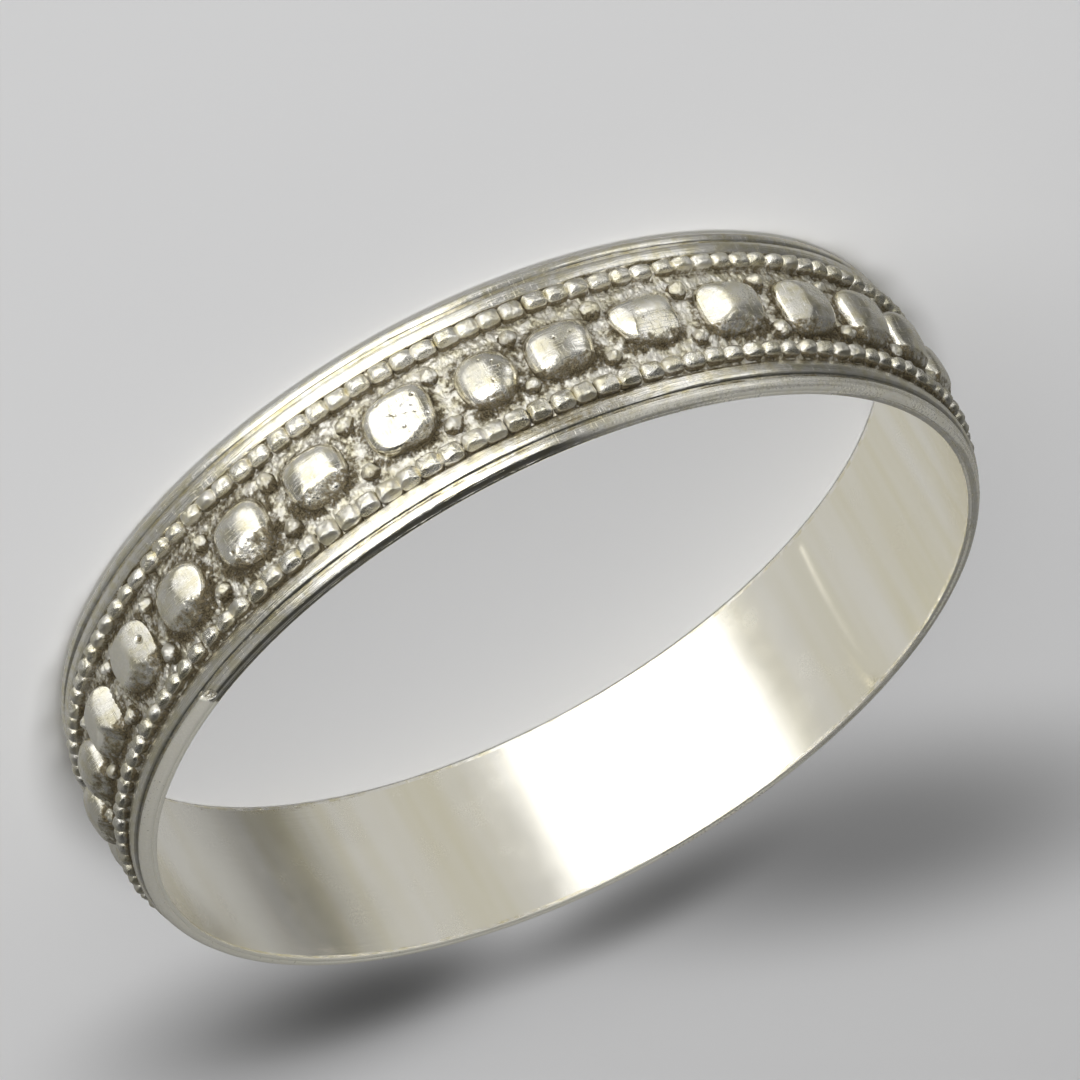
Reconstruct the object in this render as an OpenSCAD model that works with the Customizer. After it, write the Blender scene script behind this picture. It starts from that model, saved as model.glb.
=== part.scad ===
// A closed silver bangle: a smooth liner, a double ridge along each edge, two beaded wires, and between
// them a recessed ground with a row of cushion-shaped bosses and small granules. All of it is soldered
// into one piece of metal. The hoop lies on its edge with its axis along +Z, and the origin is the middle
// of the circle on which it rests.

/* [Band] */
// Inner diameter of the hoop, where the wrist goes
inner_d = 62; // [58:1:68]
// Width of the band from edge to edge
band_w = 13.6; // [13:0.1:15]
// Thickness of the liner, whose bare end shows inside each rim
liner_t = 0.35; // [0.3:0.05:0.4]
// Thickness of the band at the recessed ground
ground_t = 1.05; // [0.95:0.05:1.15]

/* [Rims] */
// Diameter of the wire along each edge
edge_wire_d = 1.2; // [1.1:0.05:1.3]
// Diameter of the ridge wire beside it
ridge_wire_d = 1.2; // [1.1:0.05:1.3]
// Height of the middle of the edge wire over the inner wall
edge_wire_rise = 0.67; // [0.66:0.01:0.7]
// Height of the middle of the ridge wire over the inner wall
ridge_wire_rise = 0.8; // [0.75:0.01:0.85]
// Distance from the edge to the middle of the ridge wire
ridge_wire_inset = 1.5; // [1.4:0.05:1.55]

/* [Beaded wires] */
// Number of beads in each beaded wire
bead_n = 124; // [110:1:130]
// Diameter of the wire that the beads are cut from
bead_wire_d = 1.3; // [1.2:0.05:1.4]
// Height of the middle of that wire over the inner wall
bead_rise = 1.4; // [1.3:0.05:1.5]
// Distance from the edge to the middle of the beaded wire
bead_inset = 2.85; // [2.8:0.05:2.95]
// Share of the bead pitch that the notch between two beads takes
notch_share = 0.14; // [0.1:0.01:0.2]

/* [Bosses] */
// Number of bosses in the row
boss_n = 31; // [26:1:32]
// Radius of the dome that rounds the top of a boss
boss_dome_r = 3.4; // [3.3:0.05:3.6]
// Height of the top of that dome over the inner wall, before the boss is flattened
boss_dome_rise = 2.85; // [2.75:0.05:2.95]
// Height of the flattened boss tops over the inner wall
boss_rise = 2.5; // [2.3:0.05:2.6]

/* [Granules] */
// Radius of the granules in the gaps between bosses
granule_r = 0.65; // [0.55:0.01:0.7]
// Height of the middle of a granule over the inner wall
granule_rise = 1.3; // [1.2:0.05:1.4]
// Distance of the granules from the middle of the band
granule_side = 2; // [1.8:0.05:2.1]

/* [Hidden] */

inner_r = inner_d / 2;
mid_z = band_w / 2;
boss_pitch = 360 / boss_n;
boss_first_turn = -29.5;
boss_sides = 16;
boss_squareness = 3;
foot_rise = ground_t / 2;
bead_pitch = 360 / bead_n;
bead_turn = bead_pitch * (1 - notch_share);
fine = 96;
coarse = 24;

// Bosses are worn unevenly: each row of the table is one boss, and the hoop repeats the rows.
TURN = 0;
LIFT = 1;
LENGTH = 2;
WIDTH = 3;
BOSSES = [
    // turn out of the even pitch in degrees, lift from the middle of the band, length, width
    [1.3, 0.0, 4.9, 4.5],
    [0.2, -0.1, 5.0, 4.6],
    [0.1, 0.0, 5.1, 4.5],
    [-0.1, 0.0, 4.8, 4.5],
    [0.0, 0.0, 4.8, 4.3],
    [-0.3, 0.0, 5.2, 4.4],
    [-0.1, 0.2, 4.5, 4.4],
    [2.0, 0.2, 5.0, 4.0],
    [2.0, 0.1, 4.8, 3.8],
    [1.5, 0.2, 5.3, 4.2],
    [1.1, 0.3, 5.1, 4.5],
    [1.2, 0.2, 4.9, 4.6],
    [1.9, 0.1, 5.0, 4.4],
];

function boss(i) = BOSSES[i % len(BOSSES)];

function boss_turn(i) = boss_first_turn - i * boss_pitch + boss(i)[TURN];

function gap_turn(i) =
    boss_first_turn - (i + 0.5) * boss_pitch
    + (boss(i)[TURN] + boss((i + 1) % boss_n)[TURN]) / 2;

// Rounded rectangle of a boss seen from above
function cushion_outline(length, width) = [
    for (i = [0 : boss_sides - 1])
        let (
            turn = (i + 0.5) * 360 / boss_sides,
            power = 2 / boss_squareness
        )
            [
                sign(cos(turn)) * length / 2 * pow(abs(cos(turn)), power),
                sign(sin(turn)) * width / 2 * pow(abs(sin(turn)), power)
            ]
];

// Places a piece on the hoop: turned about the axis, over the inner wall, at a height
module on_hoop(turn, rise, z) {
    rotate([0, 0, turn])
        translate([inner_r + rise, 0, z])
            children();
}

module wire_section(d, rise, inset) {
    for (z = [inset, band_w - inset])
        translate([rise, z])
            circle(d = d, $fn = fine);
}

module liner_section() {
    square([liner_t, band_w]);
}

module ground_section() {
    translate([0, ridge_wire_inset])
        square([ground_t, band_w - 2 * ridge_wire_inset]);
}

module band() {
    rotate_extrude($fn = fine)
        translate([inner_r, 0]) {
            liner_section();
            ground_section();
            wire_section(edge_wire_d, edge_wire_rise, edge_wire_d / 2);
            wire_section(ridge_wire_d, ridge_wire_rise, ridge_wire_inset);
        }
}

// A bead is a short stretch of wire, square cut at both ends
module bead(z) {
    rotate_extrude(angle = bead_turn, $fn = fine)
        translate([inner_r + bead_rise, z])
            circle(d = bead_wire_d, $fn = fine);
}

module beaded_wire(z) {
    for (i = [0 : bead_n - 1])
        rotate([0, 0, (i + notch_share / 2) * bead_pitch])
            bead(z);
}

// The dome is turned half round, so that the seam of its surface lies inside the metal
module boss_cushion(length, width) {
    intersection() {
        translate([boss_dome_rise - boss_dome_r, 0, 0])
            rotate([0, 0, 180])
                sphere(boss_dome_r, $fn = fine);
        translate([foot_rise, 0, 0])
            rotate([90, 0, 90])
                linear_extrude(boss_rise - foot_rise)
                    polygon(cushion_outline(length, width));
    }
}

module bosses() {
    for (i = [0 : boss_n - 1])
        on_hoop(boss_turn(i), 0, mid_z + boss(i)[LIFT])
            boss_cushion(boss(i)[LENGTH], boss(i)[WIDTH]);
}

module granules() {
    for (i = [0 : boss_n - 1])
        for (side = [-1, 1])
            on_hoop(gap_turn(i), granule_rise, mid_z + side * granule_side)
                sphere(granule_r, $fn = coarse);
}

module bangle() {
    color("silver")
        union() {
            band();
            beaded_wire(bead_inset);
            beaded_wire(band_w - bead_inset);
            bosses();
            granules();
        }
}

bangle();
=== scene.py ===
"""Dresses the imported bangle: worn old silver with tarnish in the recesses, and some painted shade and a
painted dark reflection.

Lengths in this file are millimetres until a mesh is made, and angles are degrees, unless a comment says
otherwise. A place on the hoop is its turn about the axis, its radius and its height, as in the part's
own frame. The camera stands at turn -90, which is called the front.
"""
import math

import bpy
import numpy as np
from mathutils import Matrix, Vector


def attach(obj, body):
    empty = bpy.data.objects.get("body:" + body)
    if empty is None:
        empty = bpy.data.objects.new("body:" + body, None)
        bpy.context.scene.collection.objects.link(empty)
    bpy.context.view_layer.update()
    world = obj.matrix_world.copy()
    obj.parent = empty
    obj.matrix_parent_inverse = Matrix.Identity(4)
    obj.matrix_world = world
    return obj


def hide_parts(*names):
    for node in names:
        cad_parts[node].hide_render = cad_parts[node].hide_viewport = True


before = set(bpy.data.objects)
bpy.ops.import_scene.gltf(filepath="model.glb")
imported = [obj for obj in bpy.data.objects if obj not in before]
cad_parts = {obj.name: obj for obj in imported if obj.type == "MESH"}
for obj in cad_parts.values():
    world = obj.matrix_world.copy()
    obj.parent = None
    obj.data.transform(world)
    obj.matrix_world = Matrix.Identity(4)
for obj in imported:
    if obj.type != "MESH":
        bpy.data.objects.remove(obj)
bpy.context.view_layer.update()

MM = 0.001

# The hoop, as in the part's source
INNER_R = 31.0
BAND_W = 13.6
MID_Z = BAND_W / 2
LINER_INSET = 0.3
GROUND_R = 32.05
GROUND_INSET = 1.95
BOSS_N = 31
BOSS_FIRST_TURN = -29.5
BOSS_TOP_R = 33.47
BOSS_SPREAD = 1.01
BEAD_N = 124
BEAD_INSET = 2.85
BEAD_TOP_R = 33.03
GRANULE_SIDE = 2.0

# Radii at which lengths along the hoop are measured
RIM_R = 32.0
FOOT_R = 32.3
GRANULE_R = 32.7
ORNAMENT_R = 33.0
BOSS_FACE_R = 33.4

# Turns of single places on the hoop
FRONT_TURN = -90.0
JOINT_TURN = -48.4
SEAM_TURN = 127.4
RUBBED_BEADS_TURN = -91.0
RUBBED_GROUND_TURN = -103.0
# Middle of the painted dark reflection on the upper ridge
DARK_RIDGE_TURN = -105.0
DULL_FLANK_TURN = -148.0
DULL_FLANK_REACH = 22.0
# Painted shade along the liner's lower edge lies between these turns
EDGE_SHADE_START = (12.0, 26.0)
EDGE_SHADE_END = (52.0, 66.0)

# One row is one boss, and the hoop repeats the rows
BOSS_COLUMNS = (
    "turn", "lift", "length", "width", "square", "taper", "wedge", "skew", "rough", "skirt", "lean", "flat",
)
BOSS_ROWS = [
    # turn off the even pitch, lift from the middle, length, width, squareness of the outline, share by
    # which its far end and its upper side are narrower, skew, share of rough skin, where the rough skirt on
    # the upper side begins, the turn of the skirt, and how flat the top is
    (1.3, 0.0, 4.9, 4.5, 2.8, 0.05, 0.00, 0.02, 0.5, 0.7, 0, 3.3),
    (0.2, -0.1, 5.0, 4.6, 2.7, 0.10, 0.04, -0.05, 0.6, 0.75, 0, 3.2),
    (0.1, 0.0, 5.1, 4.5, 2.3, -0.06, 0.08, 0.05, 0.5, 0.65, 0, 2.5),
    (-0.1, 0.0, 4.8, 4.5, 2.5, 0.06, 0.04, 0.03, 0.3, 0.62, 10, 2.6),
    (0.0, 0.0, 4.8, 4.3, 2.7, -0.04, 0.06, -0.04, 0.3, 0.55, 0, 2.7),
    (-0.3, 0.0, 5.2, 4.4, 2.8, 0.08, 0.05, 0.06, 0.2, 1.30, 16, 4.0),
    (-0.1, 0.2, 4.5, 4.4, 2.2, 0.00, 0.04, 0.00, 0.3, 1.15, 0, 2.5),
    (2.0, 0.2, 5.0, 4.0, 3.3, 0.04, 0.04, 0.08, 0.6, 0.8, 0, 2.7),
    (2.0, 0.1, 4.8, 3.8, 3.1, 0.08, 0.16, -0.10, 0.5, 0.85, 0, 3.2),
    (1.5, 0.2, 5.3, 4.2, 3.2, -0.10, 0.05, 0.06, 0.4, 0.9, 0, 3.4),
    (1.1, 0.3, 5.1, 4.5, 3.0, -0.12, 0.03, 0.04, 0.4, 1.0, 0, 3.4),
    (1.2, 0.2, 4.9, 4.6, 2.9, -0.06, 0.06, 0.03, 0.5, 1.0, 0, 3.4),
    (1.9, 0.1, 5.0, 4.4, 2.9, 0.05, 0.04, 0.02, 0.5, 1.0, 0, 3.2),
]

# Facets rubbed into the boss tops: the row of the boss, the way in which the facet falls (0 is along the
# hoop toward larger turns, 90 is up), where it begins from the middle, and how steep it is
FACET_COLUMNS = ("boss", "way", "start", "slope")
FACET_ROWS = [
    (0, 180, 0.9, 0.9),
    (0, 0, 0.3, 0.12),
    (1, 190, 0.5, 0.55),
    (1, 20, 0.2, 0.08),
    (1, -70, 1.2, 0.4),
    (2, 175, 0.4, 0.42),
    (2, 60, 0.1, 0.30),
    (2, 25, 1.2, 0.70),
    (2, -80, 1.3, 0.4),
    (3, 180, 0.9, 0.35),
    (3, 0, 0.8, 0.30),
    (3, 95, 0.2, 0.22),
    (4, 180, 1.2, 0.40),
    (4, 5, 1.1, 0.35),
    (4, 90, 0.1, 0.20),
    (5, 90, -1.9, 0.07),
    (5, 185, 2.0, 0.40),
    (5, -10, 1.8, 0.40),
    (6, 5, 0.0, 0.16),
    (6, 175, 1.2, 0.50),
    (6, 60, 0.8, 0.45),
    (7, 0, 0.7, 0.30),
    (7, 160, 1.3, 0.60),
    (7, 0, 1.5, 0.90),
    (8, 100, -0.1, 0.42),
    (8, 15, 1.2, 0.75),
    (8, -90, 1.3, 0.5),
    (9, 120, 0.5, 0.35),
    (9, 0, 0.9, 0.45),
    (10, 100, 0.6, 0.30),
    (10, 0, 0.6, 0.40),
    (11, 90, 0.6, 0.35),
    (11, 0, 0.8, 0.35),
    (12, 95, 0.4, 0.30),
    (12, 10, 0.8, 0.40),
]

# Grey films of tarnish on the boss tops: the place, half length along the hoop and across it, strength
FILM_COLUMNS = ("turn", "z", "along", "across", "strength")
FILM_ROWS = [
    (-97.6, 6.7, 1.0, 1.6, 0.55),
    (-109.4, 6.4, 1.1, 1.0, 0.35),
    (-121.4, 6.0, 1.6, 0.9, 0.50),
    (-39.6, 6.2, 1.8, 1.8, 0.90),
    (-27.0, 6.3, 2.0, 1.9, 0.95),
    (-134.0, 6.3, 1.5, 1.4, 0.50),
    (-146.2, 6.3, 1.5, 1.4, 0.60),
    (-157.5, 6.4, 1.5, 1.4, 0.60),
    (-52.0, 7.2, 1.3, 1.0, 0.35),
    (-62.5, 6.9, 0.9, 1.5, 0.25),
]

# Larger pits seen in the boss tops
PIT_COLUMNS = ("turn", "z", "radius", "depth")
PIT_ROWS = [
    (-43.7, 6.30, 0.26, 0.22),
    (-62.9, 7.75, 0.20, 0.14),
    (-86.5, 5.36, 0.10, 0.08),
    (-87.2, 6.50, 0.11, 0.09),
    (-87.8, 6.86, 0.12, 0.10),
    (-88.2, 7.75, 0.15, 0.11),
    (-89.1, 6.29, 0.10, 0.08),
    (-89.1, 6.86, 0.13, 0.10),
    (-90.1, 6.57, 0.11, 0.09),
    (-90.1, 7.14, 0.10, 0.08),
    (-90.7, 5.93, 0.14, 0.09),
    (-91.2, 7.64, 0.15, 0.10),
    (-99.2, 5.93, 0.09, 0.07),
    (-99.6, 7.79, 0.10, 0.08),
    (-100.5, 6.36, 0.12, 0.10),
    (-100.9, 6.93, 0.11, 0.08),
    (-108.2, 6.60, 0.15, 0.10),
    (-109.4, 6.95, 0.12, 0.08),
    (-110.3, 6.55, 0.13, 0.09),
    (-119.4, 7.10, 0.11, 0.07),
]

# Grid sizes of the meshes. The side of the hoop that the camera sees has the finer grids.
NEAR_SIDE = (-168.0, -16.0)
HOOP_STEPS = 1080
JOINT_STEPS = 150
JOINT_REACH = 2.5
LINER_ROWS = 34
GROUND_NEAR_STEPS = 1350
GROUND_FAR_STEPS = 450
GROUND_ROWS = 46
BOSS_GRID = (132, 44)
BOSS_FAR_GRID = (66, 22)
BEAD_GRID = (36, 13)
BEAD_FAR_GRID = (18, 6)
GRANULE_GRID = (24, 11)


def rows(columns, table):
    return [dict(zip(columns, row)) for row in table]


BOSSES = rows(BOSS_COLUMNS, BOSS_ROWS)
FACETS = rows(FACET_COLUMNS, FACET_ROWS)
FILMS = rows(FILM_COLUMNS, FILM_ROWS)
PITS = rows(PIT_COLUMNS, PIT_ROWS)


def lattice(seed, size=64):
    return np.random.default_rng(seed).random((size, size, size)) * 2 - 1


LATTICE = lattice(7)


def noise(p, feature, shift=0.0):
    """Smooth noise between -1 and 1 at points p, with bumps about one feature across."""
    q = np.asarray(p, float) / feature + shift
    cell = np.floor(q).astype(int)
    f = q - cell
    f = f * f * (3 - 2 * f)
    size = LATTICE.shape[0]
    out = np.zeros(q.shape[:-1])
    for dx in (0, 1):
        for dy in (0, 1):
            for dz in (0, 1):
                weight = (
                    (f[..., 0] if dx else 1 - f[..., 0])
                    * (f[..., 1] if dy else 1 - f[..., 1])
                    * (f[..., 2] if dz else 1 - f[..., 2])
                )
                corner = LATTICE[
                    (cell[..., 0] + dx) % size, (cell[..., 1] + dy) % size, (cell[..., 2] + dz) % size
                ]
                out += weight * corner
    return out


def fractal(p, feature, octaves, shift):
    """Noise with finer noise on it: each octave has half the size and half the height of the last."""
    out = 0
    for i in range(octaves):
        out = out + noise(p, feature / 2**i, shift + 11.3 * i) / 2**i
    return out


def billow(p, feature, octaves, shift):
    """Crusty noise: 0 in sharp creases, up to about 1 on round lumps."""
    out = 0
    for i in range(octaves):
        out = out + np.abs(noise(p, feature / 2**i, shift + 7.7 * i)) / 1.7**i
    return out


def smooth(x, low, high):
    """A soft step from 0 at low to 1 at high."""
    t = np.clip((x - low) / (high - low), 0, 1)
    return t * t * (3 - 2 * t)


def bell(x, middle, width, power=2):
    """A hump of height 1 over the middle. A higher power gives it a flatter top."""
    return np.exp(-(((x - middle) / width) ** power))


def hoop_point(turn, r, z):
    """Points in the part's frame from turn in degrees, radius and height."""
    a = np.radians(turn)
    return np.stack(np.broadcast_arrays(r * np.cos(a), r * np.sin(a), z), axis=-1)


def turn_gap(turn, other):
    """Signed angle from other to turn, between -180 and 180."""
    return (turn - other + 180) % 360 - 180


def arc(turn, other, radius):
    """Signed length along the hoop from other to turn, at a radius."""
    return turn_gap(turn, other) * np.radians(1) * radius


def from_edge(z):
    """Distance from the nearer edge of the band."""
    return np.minimum(z, BAND_W - z)


def boss_place(i):
    boss = BOSSES[i % len(BOSSES)]
    return BOSS_FIRST_TURN - i * 360 / BOSS_N + boss["turn"]


def gap_place(i):
    a, b = boss_place(i), boss_place((i + 1) % BOSS_N)
    return a + turn_gap(b, a) / 2


def grid_faces(nu, nv, start=0):
    """Quads of a grid of nu by nv points, closed along u and stored row after row along v."""
    uu, vv = np.meshgrid(np.arange(nu), np.arange(nv - 1), indexing="ij")
    nxt = (uu + 1) % nu
    quads = np.stack([uu * nv + vv, nxt * nv + vv, nxt * nv + vv + 1, uu * nv + vv + 1], axis=-1)
    return start + quads.reshape(-1, 4)


def add_object(name, data):
    thing = bpy.data.objects.new(name, data)
    bpy.context.scene.collection.objects.link(thing)
    return thing


def make_piece(name, points, faces, dirt_and_shade, material, film):
    """A mesh piece from points in millimetres, with the dirt and painted shade and the grey film on each
    point.
    """
    mesh = bpy.data.meshes.new(name)
    mesh.from_pydata((points.reshape(-1, 3) * MM).tolist(), [], faces)
    mesh.polygons.foreach_set("use_smooth", [True] * len(mesh.polygons))
    for label, values in (("dirt_and_shade", dirt_and_shade), ("film", film)):
        layer = mesh.attributes.new(label, "FLOAT", "POINT")
        layer.data.foreach_set("value", np.clip(values, 0, 1).astype(np.float32).ravel())
    mesh.validate()
    mesh.materials.append(material)
    piece = add_object(name, mesh)
    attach(piece, "root")
    return piece


def rim_section(top):
    """Radius and distance from the edge, from the inner wall round the edge to the ornament."""
    wall = [(INNER_R, LINER_INSET), (INNER_R, 0.12)]
    lip = [(31.01, 0.05), (31.04, 0.015), (31.1, 0.005), (31.2, 0.0), (31.29, 0.003)]
    crevice = [(31.32, 0.03), (31.345, 0.075), (31.37, 0.08), (31.40, 0.035)]
    if top:
        shelf = [(31.45, 0.012), (31.52, 0.004), (31.60, 0.0), (31.67, 0.004)]
        wire = [(31.75, 0.02), (31.83, 0.07), (31.91, 0.14), (31.99, 0.24), (32.07, 0.35), (32.13, 0.46),
                (32.17, 0.56), (32.16, 0.65), (32.11, 0.72)]
        groove = [(32.03, 0.765), (32.00, 0.80), (32.03, 0.84)]
        ridge = [(32.14, 0.88), (32.26, 0.96), (32.34, 1.08), (32.39, 1.22), (32.40, 1.38), (32.385, 1.54),
                 (32.35, 1.70), (32.30, 1.85)]
    else:
        shelf = [(31.44, 0.14), (31.53, 0.15), (31.63, 0.155), (31.72, 0.152)]
        turns = np.radians(np.linspace(-84, 58, 15))
        wire = [(31.79 + 0.465 * math.cos(t), 0.60 + 0.45 * math.sin(t)) for t in turns]
        groove = [(31.99, 1.02), (31.97, 1.06), (31.99, 1.10)]
        ridge = [(32.12, 1.14), (32.27, 1.20), (32.36, 1.31), (32.40, 1.45), (32.39, 1.61), (32.355, 1.77),
                 (32.30, 1.92)]
    foot = [(32.23, 2.04), (32.14, 2.12), (32.0, 2.18)]
    return np.array(wall + lip + crevice + shelf + wire + groove + ridge + foot)


# Places in the section of a rim: where the crevice by the liner is, where the wires begin, and the
# distance of the groove from the edge in the low and in the high rim
CREVICE_R = 31.355
CREVICE_DEPTH = 0.3
WIRES_R = 31.9
GROOVE_LOW = 1.06
GROOVE_HIGH = 0.80


def rim_dirt(section, groove_z):
    """Dirt in the crevice, in the groove and at the foot of the ridge."""
    r, z = section[:, 0], section[:, 1]
    crevice = bell(r, CREVICE_R, 0.03) * (z < CREVICE_DEPTH)
    groove = bell(z, groove_z, 0.06) * (r > WIRES_R)
    foot = smooth(z, 1.75, 2.1) * (r > 31.5)
    return np.clip(crevice + groove + 0.7 * foot, 0, 1)


def hoop_turns(close_at=None):
    """Turns of the steps round a hoop, ten times as close near the place close_at."""
    turn = np.arange(HOOP_STEPS) * 360 / HOOP_STEPS
    if close_at is not None:
        extra = (close_at + np.linspace(-JOINT_REACH, JOINT_REACH, JOINT_STEPS)) % 360
        clear = np.abs(turn_gap(turn, close_at)) > JOINT_REACH + 0.05
        turn = np.sort(np.concatenate([turn[clear], extra]))
    return turn


def uneven_rim(tt, r, z, top, shift):
    """The rim as it was drawn and hammered: wavy wires, fine lines along them and a ridge that leans."""
    around, ring = hoop_point(tt, RIM_R, z), hoop_point(tt, RIM_R, 0 * z)
    outer = smooth(r, INNER_R + 0.3, INNER_R + 0.6)
    wobble = 0.020 * noise(around, 7.0, shift) + 0.010 * noise(around, 1.7, shift + 5)
    on_ridge = (r > WIRES_R) * (z > 1.0)
    lean = (0.11 if top else 0.05) * noise(ring, 6.5, shift + 2) * (z - 1.5) * on_ridge
    drawn = 0.022 * noise(np.stack([tt * 0.05, r * 4.5, z * 4.5], -1), 1.0, shift)
    wave = outer * 0.018 * noise(around, 5.0, shift + 9) * (z > 0.2)
    return r + outer * (wobble + drawn) + lean - 0.02 * outer, np.maximum(z + wave, 0.0)


def build_rim(name, top, material):
    section = rim_section(top)
    turn = hoop_turns(JOINT_TURN if top else None)
    tt = np.repeat(turn[:, None], len(section), axis=1)
    z = np.repeat(section[None, :, 1], len(turn), axis=0)
    shift = 40.0 if top else 0.0
    spots = noise(hoop_point(tt, RIM_R, z), 0.9, shift + 3)
    dirt_and_shade = np.repeat(rim_dirt(section, GROOVE_HIGH if top else GROOVE_LOW)[None, :], len(turn), axis=0)
    dirt_and_shade = dirt_and_shade * (0.85 + 0.5 * spots)
    r, z = uneven_rim(tt, np.repeat(section[None, :, 0], len(turn), axis=0), z, top, shift)
    film = 0 * tt
    faces = grid_faces(len(turn), len(section))
    if top:
        r, z, dirt_and_shade = cut_joint(tt, r, z, dirt_and_shade)
        film = dull_wire(tt, r, z)
        dirt_and_shade = dirt_and_shade * np.where((r < 31.42) & (z < CREVICE_DEPTH), 1 - 0.8 * film, 1)
        # Painted dark reflection: the upper ridge is painted darker round one turn, in crumbs of dark skin
        painted_dark_reflection = 1 - smooth(np.abs(turn_gap(tt, DARK_RIDGE_TURN)), 7, 12)
        dirt_and_shade = dirt_and_shade + 0.7 * painted_dark_reflection * smooth(z, 0.85, 1.0)
        z, faces = BAND_W - z, faces[:, ::-1]
    return make_piece(name, hoop_point(tt, r, z), faces.tolist(), dirt_and_shade, material, film)


def cut_joint(tt, r, z, dirt_and_shade):
    """The open joint in the upper edge wire: a slanting oval slot with a bright burr on one side."""
    along = arc(tt, JOINT_TURN, RIM_R)
    down = z - 0.36
    on_wire = smooth(r, 31.45, 31.6) * (1 - smooth(z, 0.85, 1.0))
    s = 0.80 * along + 0.90 * down
    t = -0.62 * along + 1.16 * down
    far = np.hypot(s / 0.80, t / 0.36)
    slot = (1 - smooth(far, 0.55, 1.0)) * on_wire
    burr = bell(far, 1.15, 0.2) * (t < 0) * on_wire
    r = r - 0.34 * slot + 0.05 * burr
    z = z + 0.16 * slot * (z < 0.5)
    return r, z, np.clip(dirt_and_shade * (1 - burr) + 1.4 * slot * smooth(t, -0.25, 0.0), 0, 1)


def dull_wire(tt, r, z):
    """The pale grey film on the upper edge wire. It is whole from the joint toward larger turns, thin and
    streaky before the joint and from a little past the front toward smaller turns, and rubbed off between
    these."""
    on_wire = (1 - smooth(z, 0.5, 0.78)) * (r > INNER_R)
    streak = smooth(noise(np.stack([tt * 0.04, r * 5, z * 5], -1), 1.0, 70.0), 0.05, 0.35)
    past_front = turn_gap(tt, FRONT_TURN)
    whole = smooth(turn_gap(tt, JOINT_TURN), 0.2, 1.0)
    thin = 0.22 * streak * smooth(turn_gap(tt, 0), -84, -68)
    rest = (1 - smooth(past_front, -24, -12)) * (0.35 + 0.45 * streak)
    return np.where(past_front > 0, np.maximum(whole, thin), rest) * on_wire


def build_liner(material):
    """The inner wall, slightly uneven from the hammer, with the raised line of its solder seam and painted
    shade along its lower edge between two turns.
    """
    z = np.linspace(LINER_INSET, BAND_W - LINER_INSET, LINER_ROWS)
    tt, zz = np.meshgrid(hoop_turns(), z, indexing="ij")
    inset = from_edge(zz) - LINER_INSET
    around = hoop_point(tt, INNER_R, zz * 0.12)
    uneven = 0.020 * noise(around, 5.5, 3.0) + 0.006 * noise(around, 2.2, 4.0)
    r = INNER_R + smooth(inset, 0.0, 1.2) * uneven
    seam_turn = SEAM_TURN + 0.9 * ((zz - MID_Z) / MID_Z) ** 2
    seam = bell(turn_gap(tt, seam_turn), 0.0, 1.25)
    r = r - (0.23 - 0.010 * zz) * seam * smooth(inset, 0.0, 0.6)
    # Painted shade: a dark band along the lower edge, fading upward and mottled by a cloud
    edge_shade = smooth(tt, *EDGE_SHADE_START) * (1 - smooth(tt, *EDGE_SHADE_END))
    cloud = noise(hoop_point(tt, INNER_R, zz * 0.4), 2.2, 6.0)
    dirt_and_shade = edge_shade * (0.8 - 0.5 * smooth(zz, 0.2, 1.6) + 0.12 * cloud)
    faces = grid_faces(HOOP_STEPS, LINER_ROWS)[:, ::-1].tolist()
    return make_piece("liner", hoop_point(tt, r, zz), faces, dirt_and_shade, material, 0 * dirt_and_shade)


def ground_profile(z):
    """Radius of the ground across the band: a low core under each beaded wire, and the recess between."""
    inset = from_edge(z)
    return GROUND_R - 0.10 + 0.36 * bell(inset, BEAD_INSET, 0.42, 4) + 0.08 * smooth(inset, 3.3, 4.2)


def near_turns(near_steps, far_steps):
    """Turns round the hoop, closer together on the side that the camera sees."""
    first, last = NEAR_SIDE
    near = np.linspace(first, last, near_steps, endpoint=False)
    return np.concatenate([near, np.linspace(last, first + 360, far_steps, endpoint=False)])


def ornament_shade(tt, zz):
    """How much solder is heaped against the bosses, and how dark the ground round the ornament is: tarnish
    round each boss, with painted shade on the upper sides of the bosses and granules.
    """
    fillet, shade = np.zeros_like(tt), np.zeros_like(tt)
    for i in range(BOSS_N):
        heap, under = boss_fillet(i, tt, zz)
        fillet, shade = np.maximum(fillet, heap), np.maximum(shade, under)
        for side in (-1, 1):
            shade = np.maximum(shade, 0.8 * granule_shade(i, side, tt, zz))
    return fillet, shade


def ground_dirt_and_shade(tt, zz, crust, grain, shade):
    """Tarnish, darkest along the beads and round the bosses, with painted shade on the upper sides of the
    bosses and granules, a little darker toward the upper edge, and rubbed paler toward the front.
    """
    inset = from_edge(zz)
    between = 1 - smooth(np.abs(zz - MID_Z), 1.6, 2.8)
    bead_edge = bell(zz, 3.62, 0.14) + bell(inset, 2.1, 0.2)
    upper = smooth(zz, 8.4, 9.2)
    front = 1 - smooth(np.abs(turn_gap(tt, RUBBED_GROUND_TURN)), 20, 45)
    wire = bell(inset, BEAD_INSET, 0.62, 4)
    dirt_and_shade = 0.64 - 0.24 * crust - 0.15 * grain + 0.34 * shade + 0.06 * between + 0.2 * bead_edge
    return dirt_and_shade + 0.04 * upper - 0.13 * front + 0.16 * wire


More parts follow.
